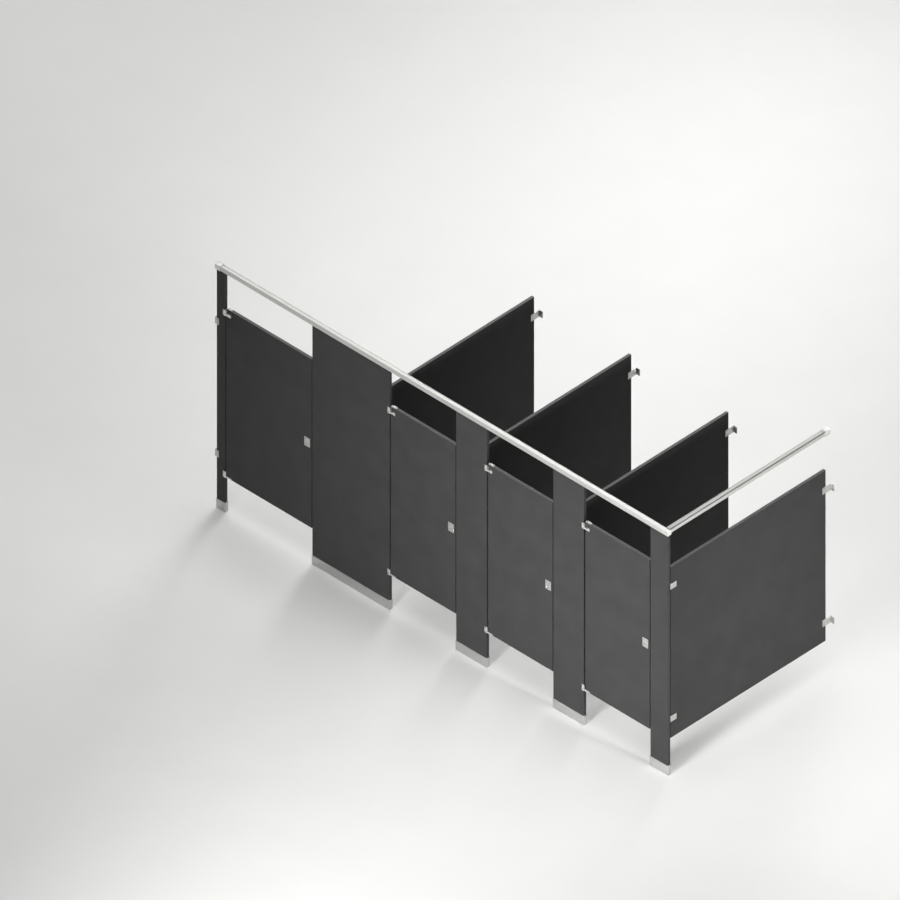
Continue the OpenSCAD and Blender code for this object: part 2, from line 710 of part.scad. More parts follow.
function case_mid_x(k) = door_right(k) - case_inset - case_w / 2;
function case_screw_xs(k) = [case_mid_x(k) - case_screw_x, case_mid_x(k) + case_screw_x];
function case_screw_zs() = [latch_z - case_screw_z, latch_z + case_screw_z];
function bolt_tip_x(k) = door_right(k) - case_inset - 1;
function keeper_x0(k) = door_right(k) + latch_gap + keeper_inset;
function keeper_screw_x(k) = keeper_x0(k) + keeper_w / 2;
function keeper_screw_z(s) = latch_z + s * (keeper_h + keeper_ear_h) / 2;

// Outside plate with a slotted release button
module latch_plate(k) {
  x1 = door_right(k) - plate_inset;
  xm = x1 - plate_w / 2;
  color(steel_color) placed() difference() {
    union() {
      block([x1 - plate_w, -plate_t, latch_z - plate_h / 2], [x1, 0, latch_z + plate_h / 2]);
      rod([xm, 0, latch_z - button_drop], [0, -1, 0], button_r, plate_t + button_t);
    }
    block([xm - button_slot / 2, -plate_t - button_t - e, latch_z - button_drop - button_r - e],
      [xm + button_slot / 2, -plate_t, latch_z - button_drop + button_r + e]);
    for (x = case_screw_xs(k), z = case_screw_zs())
      rod([x, -plate_t - e, z], [0, 1, 0], hole_r, plate_t + 2 * e);
  }
}

// Case on the inner face: the bolt slides in it and the stem runs in its slot
module latch_case(k) {
  x1 = door_right(k) - case_inset;
  tip = bolt_tip_x(k);
  half = bolt_h / 2 + bolt_play;
  slot = stem_r + stem_play;
  color(steel_color) placed() difference() {
    block([x1 - case_w, sheet_t, latch_z - case_h / 2], [x1, sheet_t + case_d, latch_z + case_h / 2]);
    block([tip - bolt_l - bolt_play, bolt_y - bolt_play, latch_z - half],
      [x1 + e, bolt_y + bolt_t + bolt_play, latch_z + half]);
    block([tip - knob_x - slot, bolt_y, latch_z - slot],
      [tip - knob_x + bolt_travel + slot, sheet_t + case_d + e, latch_z + slot]);
    for (x = case_screw_xs(k), z = case_screw_zs())
      rod([x, sheet_t - e, z], [0, 1, 0], hole_r, case_d / 2 + e);
  }
}

// Bolt drawn back into its case, with its knob
module latch_bolt(k) {
  tip = bolt_tip_x(k);
  color(steel_color) placed() {
    block([tip - bolt_l, bolt_y, latch_z - bolt_h / 2], [tip, bolt_y + bolt_t, latch_z + bolt_h / 2]);
    rod([tip - knob_x, bolt_y + bolt_t - e, latch_z], [0, 1, 0], stem_r, stem_l + 2 * e);
    rod([tip - knob_x, bolt_y + bolt_t + stem_l, latch_z], [0, 1, 0], knob_r, knob_l);
  }
}

// Keeper on the next pilaster's rear face, open towards the bolt
module keepers() {
  color(steel_color) placed() for (k = [1:4]) {
    x0 = keeper_x0(k);
    half = bolt_h / 2 + keeper_play;
    difference() {
      union() {
        block([x0, sheet_t, latch_z - keeper_h / 2],
          [x0 + keeper_w, sheet_t + case_d, latch_z + keeper_h / 2]);
        block([x0, sheet_t, latch_z - keeper_h / 2 - keeper_ear_h],
          [x0 + keeper_w, sheet_t + keeper_ear_t, latch_z + keeper_h / 2 + keeper_ear_h]);
      }
      block([x0 - e, bolt_y - keeper_play, latch_z - half],
        [x0 + keeper_w - keeper_wall, bolt_y + bolt_t + keeper_play, latch_z + half]);
      for (s = [-1, 1])
        rod([keeper_screw_x(k), sheet_t - e, keeper_screw_z(s)], [0, 1, 0], hole_r, keeper_ear_t + 2 * e);
    }
  }
}

module door_screws(k) {
  color(steel_color) placed() {
    for (s = [-1, 1])
      screw([pivot_x(k) + s * cap_screw_x, pivot_y, door_top + cap_t], [0, 0, -1], cap_t + screw_reach - 2);
    for (x = case_screw_xs(k), z = case_screw_zs())
      screw([x, -plate_t, z], [0, 1, 0], plate_t + sheet_t + case_d / 2 - 1);
  }
}

module pan_head_screws() {
  color(steel_color) placed() {
    for (z = bracket_zs, s = [-1, 1]) {
      screw([side_gap + side_ear_l / 2, -angle_t, z + s * angle_hole_pitch / 2], [0, 1, 0],
        angle_t + screw_reach - 1);
      for (k = [1:4]) {
        screw([divider_x(k) + sheet_t / 2 + angle_t, angle_screw_y(), z + s * angle_hole_pitch / 2],
          [-1, 0, 0], angle_t + screw_reach - 1);
        screw([divider_x(k), sheet_t + channel_t, z + s * channel_screw_pitch / 2], [0, -1, 0],
          channel_t + screw_reach - 1);
      }
    }
    for (k = [1:4], s = [-1, 1])
      screw([keeper_screw_x(k), sheet_t + keeper_ear_t, keeper_screw_z(s)], [0, -1, 0],
        keeper_ear_t + screw_reach - 1);
    for (k = [1:5], x = rail_screw_xs(k))
      screw([x, rail_back_y, headrail_z + rail_channel_d / 2], [0, -1, 0],
        rail_back_y - sheet_t + screw_reach - 1);
    screw([corner_screw_x(), rail_back_y + corner_t, corner_screw_z()], [0, -1, 0], corner_t + rail_wall);
    for (y = corner_leg_screw_ys())
      screw([return_x0 + rail_wall + corner_t, y, corner_screw_z()], [-1, 0, 0], corner_t + rail_wall);
  }
}

module through_bolts() {
  color(steel_color) placed() for (k = [1:4]) {
    for (z0 = [upper_hinge_z, lower_hinge_z], z = hinge_bolt_zs(z0))
      through_bolt([pilaster_right(k) - hinge_flange_w / 2, -hinge_flange_t, z], [0, 1, 0],
        sheet_t + 2 * hinge_flange_t);
    for (z = bracket_zs)
      through_bolt([divider_x(k) - sheet_t / 2 - channel_t, channel_bolt_y(), z], [1, 0, 0],
        sheet_t + 2 * channel_t);
  }
}

pilaster(1);  // pilaster_1
pilaster(2);  // pilaster_2
pilaster(3);  // pilaster_3
pilaster(4);  // pilaster_4
pilaster(5);  // pilaster_5
shoe(1);  // shoe_1
shoe(2);  // shoe_2
shoe(3);  // shoe_3
shoe(4);  // shoe_4
shoe(5);  // shoe_5
panel(1);  // divider_1
panel(2);  // divider_2
panel(3);  // divider_3
panel(4);  // end_panel
headrail_front();
headrail_return();
headrail_end_cap();
headrail_sockets();
headrail_corner_bracket();
side_angle_brackets();
rear_angle_brackets();
channel_brackets();
foot_bars();
levelling_studs();
levelling_nuts();
upper_hinge_brackets();
lower_hinge_brackets();
lower_hinge_pins();
lower_hinge_cams();
keepers();
pan_head_screws();
through_bolts();
door(1);  // door_1
door(2);  // door_2
door(3);  // door_3
door(4);  // door_4
hinge_cap(1);  // hinge_cap_1
hinge_cap(2);  // hinge_cap_2
hinge_cap(3);  // hinge_cap_3
hinge_cap(4);  // hinge_cap_4
hinge_insert(1);  // hinge_insert_1
hinge_insert(2);  // hinge_insert_2
hinge_insert(3);  // hinge_insert_3
hinge_insert(4);  // hinge_insert_4
latch_case(1);  // latch_case_1
latch_case(2);  // latch_case_2
latch_case(3);  // latch_case_3
latch_case(4);  // latch_case_4
latch_plate(1);  // latch_plate_1
latch_plate(2);  // latch_plate_2
latch_plate(3);  // latch_plate_3
latch_plate(4);  // latch_plate_4
latch_bolt(1);  // latch_bolt_1
latch_bolt(2);  // latch_bolt_2
latch_bolt(3);  // latch_bolt_3
latch_bolt(4);  // latch_bolt_4
door_screws(1);  // door_screws_1
door_screws(2);  // door_screws_2
door_screws(3);  // door_screws_3
door_screws(4);  // door_screws_4
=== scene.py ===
import math

import bmesh
import bpy
import numpy as np
from mathutils import Matrix, Vector


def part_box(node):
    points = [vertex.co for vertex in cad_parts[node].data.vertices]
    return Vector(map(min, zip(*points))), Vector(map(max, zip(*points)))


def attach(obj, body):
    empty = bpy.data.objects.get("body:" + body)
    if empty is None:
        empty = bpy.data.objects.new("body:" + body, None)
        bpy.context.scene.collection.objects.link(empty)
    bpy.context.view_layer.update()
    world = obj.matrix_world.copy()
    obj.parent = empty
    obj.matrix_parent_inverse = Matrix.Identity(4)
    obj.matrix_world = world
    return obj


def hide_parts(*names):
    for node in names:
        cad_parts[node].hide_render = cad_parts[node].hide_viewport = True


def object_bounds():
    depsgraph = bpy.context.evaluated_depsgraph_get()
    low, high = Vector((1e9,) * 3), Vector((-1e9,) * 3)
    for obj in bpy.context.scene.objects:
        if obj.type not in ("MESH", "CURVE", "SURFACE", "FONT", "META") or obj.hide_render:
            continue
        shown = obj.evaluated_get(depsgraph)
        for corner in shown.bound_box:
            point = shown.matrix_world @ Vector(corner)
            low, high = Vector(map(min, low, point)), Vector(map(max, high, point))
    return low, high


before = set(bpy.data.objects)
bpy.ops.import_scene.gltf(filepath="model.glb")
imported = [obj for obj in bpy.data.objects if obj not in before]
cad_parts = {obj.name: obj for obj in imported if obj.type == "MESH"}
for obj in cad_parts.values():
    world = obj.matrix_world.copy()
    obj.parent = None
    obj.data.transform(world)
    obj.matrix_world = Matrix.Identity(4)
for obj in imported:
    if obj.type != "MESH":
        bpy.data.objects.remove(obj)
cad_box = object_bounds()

MM = 0.001
DOORS = (1, 2, 3, 4)
PILASTERS = (1, 2, 3, 4, 5)

# Solids of one node are told apart, and loose triangles merged, within these distances
CORNER_GRID = 0.01 * MM
MERGE_REACH = 0.005 * MM
# Points of a solid lie in one plane if they are no further than this from it
SAME_PLANE = 0.1 * MM
# Edges that turn by more than these angles, in degrees, stay sharp or are rounded over
SMOOTH_TURN = 32
BEVEL_TURN = 40
BEVEL_SEGMENTS = 3
# Neighbouring triangles that turn by less than this angle are merged into one flat face
FLAT_TURN = 1
# Points along a quarter circle: at an outline's corner and across a folded or pressed edge
CORNER_STEPS = 6
BEND_STEPS = 5
# Points along the arc at a fillet, and the most that it takes of a side's length
FILLET_STEPS = 4
FILLET_SHARE = 0.45


# Mesh helpers

def numbers(values, item, count, width, kind):
    """Reads one attribute of a whole mesh layer into an array of rows."""
    flat = np.empty(count * width, kind)
    values.foreach_get(item, flat)
    return flat.reshape(-1, width)


def solids(node):
    """Corner points of each separate solid of a CAD node.

    Every corner carries a label. Each triangle hands its lowest label to its three corners until no
    label changes, so the triangles that hang together end with the same one."""
    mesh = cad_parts[node].data
    points = numbers(mesh.vertices, "co", len(mesh.vertices), 3, np.float32).astype(float)
    keys = np.round(points / CORNER_GRID).astype(np.int64)
    corner = np.unique(keys, axis=0, return_inverse=True)[1].ravel()
    triangles = corner[numbers(mesh.loops, "vertex_index", len(mesh.polygons), 3, np.int32)]
    label = np.arange(corner.max() + 1)
    while True:
        lowest = label[triangles].min(axis=1)
        grown = label.copy()
        np.minimum.at(grown, triangles.ravel(), np.repeat(lowest, 3))
        if (grown == label).all():
            break
        label = grown
    group = label[corner]
    return [points[group == g] for g in np.unique(group)]


def tube_faces(rings, sides, closed=False):
    """Quads between neighbouring rings. A closed tube also joins its last ring to its first."""
    ring = np.arange(rings if closed else rings - 1)[:, None]
    side = np.arange(sides)[None, :]
    a = ring * sides + side
    b = ring * sides + (side + 1) % sides
    step = (ring + 1) % rings * sides
    c = step + (side + 1) % sides
    d = step + side
    return np.stack([a, b, c, d], axis=-1).reshape(-1, 4).tolist()


def shell(grid, closed=False):
    """Points and faces of a surface given as rings x sides x 3. An open tube gets flat end caps."""
    rings, sides = grid.shape[:2]
    faces = tube_faces(rings, sides, closed)
    if not closed:
        faces.append(list(range(sides))[::-1])
        faces.append(list(range((rings - 1) * sides, rings * sides)))
    return grid.reshape(-1, 3), faces


def joined(shells):
    """One list of points and one of faces out of several shells."""
    points, faces, start = [], [], 0
    for p, f in shells:
        points.append(p)
        faces += [[i + start for i in face] for face in f]
        start += len(p)
    return np.concatenate(points), faces


def smooth_mesh(mesh):
    """Shades a mesh smooth and keeps the edges that turn by more than SMOOTH_TURN sharp."""
    mesh.shade_smooth()
    mesh.set_sharp_from_angle(angle=math.radians(SMOOTH_TURN))


def placed(name, data):
    """Makes an object of the data and links it to the scene."""
    made = bpy.data.objects.new(name, data)
    bpy.context.scene.collection.objects.link(made)
    return made


def piece(name, shells, body, material, node):
    """Makes one object out of shells, in place, riding on its body and standing for its CAD node."""
    points, faces = joined(shells)
    mesh = bpy.data.meshes.new(name)
    mesh.from_pydata(points.tolist(), [], faces)
    work = bmesh.new()
    work.from_mesh(mesh)
    bmesh.ops.recalc_face_normals(work, faces=work.faces)
    work.to_mesh(mesh)
    work.free()
    smooth_mesh(mesh)
    mesh.materials.append(material)
    made = placed(name, mesh)
    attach(made, body)
    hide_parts(node)


def softened(node, radius, body, material):
    """Copy of a CAD node with its triangles merged into flat faces and each sharp edge rounded over.

    A bevel of the given radius runs along every edge that turns by more than BEVEL_TURN degrees."""
    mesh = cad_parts[node].data.copy()
    mesh.materials.clear()
    work = bmesh.new()
    work.from_mesh(mesh)
    bmesh.ops.remove_doubles(work, verts=work.verts, dist=MERGE_REACH)
    bmesh.ops.dissolve_limit(work, angle_limit=math.radians(FLAT_TURN), verts=work.verts,
                             edges=work.edges)
    work.to_mesh(mesh)
    work.free()
    mesh.shade_smooth()
    mesh.materials.append(material)
    made = placed(node + "_finished", mesh)
    bevel = made.modifiers.new("edges", "BEVEL")
    bevel.width = radius
    bevel.segments = BEVEL_SEGMENTS
    bevel.limit_method = "ANGLE"
    bevel.angle_limit = math.radians(BEVEL_TURN)
    bevel.use_clamp_overlap = True
    bevel.harden_normals = True
    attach(made, body)
    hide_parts(node)


# Outlines and surfaces of revolution

def rounded_rectangle(w, h, r):
    """Points round a rectangle centred on the origin: four quarter circles joined by straight sides."""
    turn = np.linspace(0, math.pi / 2, CORNER_STEPS)
    angles = (turn[None, :] + np.arange(4)[:, None] * math.pi / 2).ravel()
    sign = np.repeat(np.array([[1, 1], [-1, 1], [-1, -1], [1, -1]]), CORNER_STEPS, axis=0)
    centre = sign * np.array([w / 2 - r, h / 2 - r])
    return centre + r * np.stack([np.cos(angles), np.sin(angles)], axis=1)


def filleted(corners, radius):
    """Outline with each corner replaced by an arc that touches both of its sides.

    The arc of radius r touches the sides at r / tan(half the corner's angle) from the corner, and each
    of its points is found by turning from one touching point's spoke to the other's. Where a side is
    too short for it, the arc is made smaller."""
    p = np.array(corners, float)
    to_last = np.roll(p, 1, axis=0) - p
    to_next = np.roll(p, -1, axis=0) - p
    shorter = np.minimum(np.linalg.norm(to_last, axis=1), np.linalg.norm(to_next, axis=1))
    room = FILLET_SHARE * shorter
    to_last /= np.linalg.norm(to_last, axis=1, keepdims=True)
    to_next /= np.linalg.norm(to_next, axis=1, keepdims=True)
    half = np.arccos(np.clip((to_last * to_next).sum(axis=1), -1, 1)) / 2
    r = np.minimum(radius, room * np.tan(half))
    bisector = to_last + to_next
    bisector /= np.linalg.norm(bisector, axis=1, keepdims=True)
    centre = p + bisector * (r / np.sin(half))[:, None]
    first = p + to_last * (r / np.tan(half))[:, None] - centre
    last = p + to_next * (r / np.tan(half))[:, None] - centre
    angle0 = np.arctan2(first[:, 1], first[:, 0])
    sweep = np.arctan2(last[:, 1], last[:, 0]) - angle0
    sweep = (sweep + math.pi) % (2 * math.pi) - math.pi
    t = np.linspace(0, 1, FILLET_STEPS)
    angles = angle0[:, None] + sweep[:, None] * t
    arcs = np.stack([np.cos(angles), np.sin(angles)], axis=-1) * r[:, None, None]
    return (centre[:, None, :] + arcs).reshape(-1, 2)


def turned(at, direction, radii, heights):
    """Surface of revolution: ring i has radius radii[i], which may vary with the angle, at heights[i].

    Heights are counted from the point at, along the direction."""
    w = np.array(direction, float)
    u = np.array([w[2], w[0], w[1]])
    v = np.cross(w, u)
    radii = np.asarray(radii)
    angles = np.linspace(0, 2 * math.pi, radii.shape[1], endpoint=False)
    spoke = np.cos(angles)[:, None] * u + np.sin(angles)[:, None] * v
    return np.array(at) + radii[:, :, None] * spoke + np.array(heights)[:, None, None] * w


# Materials

# Most values of a noise lie between these two
NOISE_LOW = 0.3
NOISE_HIGH = 0.7
# Sizes of the sheet's surface marks: the moulded pits, the slow drift of colour, the pale flecks, and
# the lines of the saw across and along an edge
PEEL = 2.2 * MM
DRIFT = 160 * MM
FLECK = 9 * MM
SAW_LINE = 1.1 * MM
SAW_RUN = 60 * MM
# Colours of the sheet: two for its faces, one for the flecks, two for its edges, and two for the top
# edges, which are painted paler: a painted highlight that stands in for the light falling on them from
# above
FACE_TONES = ("#2a2a2a", "#2f2f2f")
FLECK_TONE = "#393938"
EDGE_TONES = ("#2b2b2b", "#333333")
PAINTED_TOP_LIGHT_TONES = ("#686867", "#757574")
# Where the noise of the flecks starts and ends to count, on a face and on a top edge
FLECK_RANGE = (0.62, 0.8)
PAINTED_TOP_LIGHT_RANGE = (0.35, 0.65)
FLECK_MOST = 0.5
# A surface blends from edge to face, and from side to top, as the normal's part grows between these
FACE_RANGE = (0.55, 0.95)
UPWARD_RANGE = (0.6, 0.95)
EDGE_ROUGH = 0.42
PEEL_RANGE = (0.35, 0.65)
FACE_ROUGH = (0.5, 0.62)
# The moulded skin is dull, so its shine is set to well under half of a polished polyethylene's
SKIN_SHINE = 0.12
# Real die lines lie a few tenths of a millimetre apart; they are drawn coarser here so that they show
DIE_LINE = 1.5 * MM
DIE_RUN = 400 * MM
# Metals: size of the slow change of roughness and its two ends, and the range of streaks that counts
METAL_CLOUD = 70 * MM
CLOUD_ROUGH = (-0.02, 0.03)
STREAK_RANGE = (0.25, 0.75)


def linear(code):
    """sRGB hex colour to linear red, green, blue and alpha."""
    channels = np.array([int(code[i:i + 2], 16) for i in (1, 3, 5)]) / 255
    low = channels / 12.92
    high = ((channels + 0.055) / 1.055) ** 2.4
    return (*np.where(channels <= 0.04045, low, high).tolist(), 1.0)


def add(tree, kind, settings=None, **links):
    """Adds a shader node. Settings are attributes, and links give an input socket its value or source.

    A link is named for its socket, or by an underscore and the socket's number."""
    made = tree.nodes.new(kind)
    for key, value in (settings or {}).items():
        setattr(made, key, value)
    for key, value in links.items():
        socket = made.inputs[int(key[1:])] if key[0] == "_" else made.inputs[key.replace("_", " ")]
        if isinstance(value, bpy.types.NodeSocket):
            tree.links.new(value, socket)
        else:
            socket.default_value = value
    return made


def new_material(name):
    """Empty node material, with sockets for its object coordinates and its normal."""
    material = bpy.data.materials.new(name)
    material.use_nodes = True
    tree = material.node_tree
    tree.nodes.clear()
    place = add(tree, "ShaderNodeTexCoord")
    return material, tree, place.outputs["Object"], place.outputs["Normal"]


def close(tree, shader):
    """Links a shader to the material's surface."""
    add(tree, "ShaderNodeOutputMaterial", Surface=shader.outputs[0])


def stretched_noise(tree, coordinates, size, detail=3.0, rough=0.6):
    """Noise whose features measure size = (x, y, z) in metres."""
    scaled = add(tree, "ShaderNodeMapping", _0=coordinates, Scale=tuple(1 / s for s in size))
    return add(tree, "ShaderNodeTexNoise", Vector=scaled.outputs[0], Scale=1.0, Detail=detail,
               Roughness=rough).outputs["Fac"]


def remap(tree, value, low, high, out_low, out_high):
    """Straight-line remap of a value, held to its ends."""
    return add(tree, "ShaderNodeMapRange", Value=value, From_Min=low, From_Max=high, To_Min=out_low,
               To_Max=out_high).outputs[0]


def widened(tree, noise):
    """Noise stretched so that most of it runs from 0 to 1."""
    return remap(tree, noise, NOISE_LOW, NOISE_HIGH, 0, 1)


def blended(tree, factor, a, b):
    """Mix of two colours or sockets."""
    return add(tree, "ShaderNodeMix", {"data_type": "RGBA"}, _0=factor, _6=a, _7=b).outputs[2]


def mixed(tree, factor, a, b):
    """Mix of two numbers or sockets."""
    return add(tree, "ShaderNodeMix", {"data_type": "FLOAT"}, _0=factor, _2=a, _3=b).outputs[0]


def charcoal_polyethylene(name, face_axis):
    """Compression-moulded polyethylene sheet: a matte orange-peel face and smoother sawn edges."""
    material, tree, place, normal = new_material(name)
    peel = stretched_noise(tree, place, (PEEL,) * 3, 4.0, 0.55)
    drift = stretched_noise(tree, place, (DRIFT,) * 3, 3.0, 0.5)
    fleck = stretched_noise(tree, place, (FLECK,) * 3, 5.0, 0.7)
    saw = (SAW_LINE, SAW_RUN, SAW_RUN) if face_axis == 1 else (SAW_RUN, SAW_LINE, SAW_RUN)
    lines = stretched_noise(tree, place, saw, 2.0, 0.5)
    # The normal tells the moulded faces from the sawn edges
    parts = add(tree, "ShaderNodeSeparateXYZ", Vector=normal)
    facing = add(tree, "ShaderNodeMath", {"operation": "ABSOLUTE"},
                 _0=parts.outputs[face_axis]).outputs[0]
    face = remap(tree, facing, *FACE_RANGE, 0, 1)
    tone = blended(tree, widened(tree, drift), *map(linear, FACE_TONES))
    tone = blended(tree, remap(tree, fleck, *FLECK_RANGE, 0, FLECK_MOST), tone, linear(FLECK_TONE))
    edge_tone = blended(tree, widened(tree, lines), *map(linear, EDGE_TONES))
    # Painted highlight: edges that face upwards get a pale tone in place of the light from above
    painted_top_light = blended(tree, remap(tree, fleck, *PAINTED_TOP_LIGHT_RANGE, 0, 1), *map(linear, PAINTED_TOP_LIGHT_TONES))
    upward = remap(tree, parts.outputs[2], *UPWARD_RANGE, 0, 1)
    colour = blended(tree, face, blended(tree, upward, edge_tone, painted_top_light), tone)
    height = mixed(tree, face, lines, peel)
    bump = add(tree, "ShaderNodeBump", Strength=0.25, Distance=0.25 * MM, Height=height)
    rough = mixed(tree, face, EDGE_ROUGH, remap(tree, peel, *PEEL_RANGE, *FACE_ROUGH))
    shader = add(tree, "ShaderNodeBsdfPrincipled", Base_Color=colour, Roughness=rough, IOR=1.52,
                 Specular_IOR_Level=SKIN_SHINE, Normal=bump.outputs[0])
    close(tree, shader)
    return material


def brushed_metal(name, light, dark, grain, rough, depth):
    """Metal with a drawn grain: fine streaks of the given size in colour, roughness and height.

    The roughness is given as its two ends, and depth is the height of the streaks."""
    material, tree, place, _ = new_material(name)
    streaks = stretched_noise(tree, place, grain, 4.0, 0.65)
    cloud = stretched_noise(tree, place, (METAL_CLOUD,) * 3, 2.0, 0.5)
    colour = blended(tree, widened(tree, streaks), linear(dark), linear(light))
    total = add(tree, "ShaderNodeMath", {"operation": "ADD"},
                _0=remap(tree, streaks, *STREAK_RANGE, *rough),
                _1=remap(tree, cloud, NOISE_LOW, NOISE_HIGH, *CLOUD_ROUGH)).outputs[0]
    bump = add(tree, "ShaderNodeBump", Strength=0.2, Distance=depth, Height=streaks)
    shader = add(tree, "ShaderNodeBsdfPrincipled", Base_Color=colour, Metallic=1.0, Roughness=total,
                 Normal=bump.outputs[0])
    close(tree, shader)
    return material


def black_nylon():
    """Turned nylon: nearly black, waxy, with faint rings from the lathe."""
    material, tree, place, _ = new_material("black_nylon")
    turning = stretched_noise(tree, place, (20 * MM, 20 * MM, 0.6 * MM), 2.0, 0.5)
    bump = add(tree, "ShaderNodeBump", Strength=0.2, Distance=0.1 * MM, Height=turning)
    colour = blended(tree, turning, linear("#17181a"), linear("#222325"))
    shader = add(tree, "ShaderNodeBsdfPrincipled", Base_Color=colour, Roughness=0.42, IOR=1.53,
                 Normal=bump.outputs[0])
    close(tree, shader)
    return material


sheet_facing_y = charcoal_polyethylene("charcoal_polyethylene_front", 1)
sheet_facing_x = charcoal_polyethylene("charcoal_polyethylene_divider", 0)
# Anodised extrusion: pale, satin, with the faint lines that the die draws along it
rail_along_x, rail_along_y = (
    brushed_metal(name, "#d2d2cf", "#c4c4c1", grain, rough=(0.34, 0.44), depth=0.05 * MM)
    for name, grain in (("anodised_aluminium_front", (DIE_RUN, DIE_LINE, DIE_LINE)),
                        ("anodised_aluminium_return", (DIE_LINE, DIE_RUN, DIE_LINE))))
# Die-cast aluminium: the palest metal here, with the even sparkle of a tumbled casting
cast_aluminium = brushed_metal("satin_cast_aluminium", "#dededa", "#d2d2ce",
                               (1.2 * MM,) * 3, rough=(0.4, 0.5), depth=0.08 * MM)
# Brushed sheet: grey, with scratches that run round the shoe, drawn coarser than real ones
shoe_steel = brushed_metal("brushed_stainless_shoe", "#c2c2c1", "#adadac",
                           (120 * MM, 120 * MM, 0.8 * MM), rough=(0.34, 0.46), depth=0.04 * MM)
# The same sheet brushed upright, for plates and folded brackets
plate_steel = brushed_metal("brushed_stainless_upright", "#c4c4c2", "#b3b3b1",
                            (0.8 * MM, 0.8 * MM, 60 * MM), rough=(0.32, 0.44), depth=0.04 * MM)
# Tumbled castings: a soft white gloss without direction
cast_steel = brushed_metal("satin_cast_stainless", "#e2e2e0", "#d6d6d4",
                           (0.9 * MM,) * 3, rough=(0.28, 0.4), depth=0.08 * MM)
# Turned parts: the brightest gloss, so that small heads and knobs catch the light
fastener_steel = brushed_metal("turned_stainless", "#c4c4c1", "#b4b4b1",
                               (0.5 * MM,) * 3, rough=(0.22, 0.34), depth=0.03 * MM)
nylon = black_nylon()


# Sheets keep their CAD form

for node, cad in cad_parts.items():
    cad.data.materials.clear()
    if node.startswith(("divider_", "end_panel")):
        cad.data.materials.append(sheet_facing_x)
    elif node.startswith(("lower_hinge_cams", "hinge_insert_")):
        cad.data.materials.append(nylon)
    elif node.startswith(("pilaster_", "door_")) and not node.startswith("door_screws"):
        cad.data.materials.append(sheet_facing_y)
    elif node.startswith("headrail"):
        cad.data.materials.append(rail_along_y if node == "headrail_return" else rail_along_x)
    else:
        cad.data.materials.append(cast_steel)


# Shoes

SHOE_CORNER = 4.0 * MM
SHOE_WALL = 1.5 * MM
SHOE_LIP = 1.5 * MM
SHOE_TOP_BEND = 1.8 * MM
SHOE_EDGE = 0.4 * MM
SHOE_PLAY = 0.05 * MM


def shoe(k):
    """Folded steel sleeve: its outline is a rounded rectangle, and its wall turns inwards at the top
    until only SHOE_PLAY is left between it and the pilaster.

    Each ring is the outline drawn in by the inset of one point of the wall's closed profile."""
    low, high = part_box(f"shoe_{k}")
    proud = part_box(f"pilaster_{k}")[0].x - low.x - SHOE_PLAY
    width, depth, top = high.x - low.x, high.y - low.y, high.z
    turn = np.linspace(0, math.pi / 2, BEND_STEPS)
    bend = np.stack([SHOE_TOP_BEND * (1 - np.cos(turn)), top - SHOE_TOP_BEND * (1 - np.sin(turn))],
                    axis=1)
    under = top - SHOE_LIP
    profile = np.concatenate([
        [[SHOE_EDGE, 0], [0, SHOE_EDGE]], bend,
        [[proud, top], [proud, under], [SHOE_WALL + SHOE_EDGE, under], [SHOE_WALL, under - SHOE_EDGE],
         [SHOE_WALL, SHOE_EDGE], [SHOE_WALL - SHOE_EDGE, 0]],
    ])
    outlines = np.stack([
        rounded_rectangle(width - 2 * d, depth - 2 * d, SHOE_CORNER - d) for d in profile[:, 0]])
    heights = np.broadcast_to(profile[:, 1, None, None], (*outlines.shape[:2], 1))
    grid = np.concatenate([outlines + [low.x + width / 2, low.y + depth / 2], heights], axis=2)
    piece(f"shoe_{k}_sleeve", [shell(grid, closed=True)], "frame", shoe_steel, f"shoe_{k}")


for number in PILASTERS:
    shoe(number)


# Headrail

RAIL_W = 37 * MM
RAIL_H = 36 * MM
RAIL_WALL = 3 * MM
RAIL_CHANNEL = 20 * MM
RIDGE_H = 1.5 * MM
RIDGE_W = 2.5 * MM
GROOVE_W = 6 * MM
GROOVE_D = 12 * MM
LIP_DROP = 3.7 * MM
SHORT_SIDE = 4.5 * MM
RAIL_FILLET = 0.7 * MM
RAIL_RINGS = 24


def rail_outline():
    """Outline of the extruded rail: ridged side at 0, grooved side at RAIL_W, open channel below."""
    groove1 = RAIL_W - RAIL_WALL
    groove0 = groove1 - GROOVE_W
    return filleted([
        (0, 0), (0, RAIL_H + RIDGE_H), (RIDGE_W, RAIL_H + RIDGE_H), (RIDGE_W + RIDGE_H, RAIL_H),
        (groove0, RAIL_H), (groove0, RAIL_H - GROOVE_D), (groove1, RAIL_H - GROOVE_D),
        (groove1, RAIL_H - LIP_DROP), (RAIL_W, RAIL_H - LIP_DROP), (RAIL_W, SHORT_SIDE),
        (groove1, SHORT_SIDE), (groove1, RAIL_CHANNEL), (RAIL_WALL, RAIL_CHANNEL), (RAIL_WALL, 0),
    ], RAIL_FILLET)


def rail(node, along, material):
    """Extrusion: the outline is carried in a straight line from one end of the CAD rail to the other."""
    low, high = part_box(node)
    outline = rail_outline()
    stations = np.linspace(low[along], high[along], RAIL_RINGS)
    across = 1 - along
    grid = np.empty((RAIL_RINGS, len(outline), 3))
    grid[:, :, along] = stations[:, None]
    grid[:, :, across] = low[across] + outline[:, 0]
    grid[:, :, 2] = low.z + outline[:, 1]
    piece(node + "_extrusion", [shell(grid)], "frame", material, node)


rail("headrail_front", 0, rail_along_x)
rail("headrail_return", 1, rail_along_y)


# Screws and bolts

HEAD_R = 5.0 * MM
HEAD_H = 2.5 * MM
HEAD_SIDES = 36
HEAD_RINGS = 4
# An end of a fastener is a head if its points reach out this far
HEAD_FOUND = 0.8 * HEAD_R
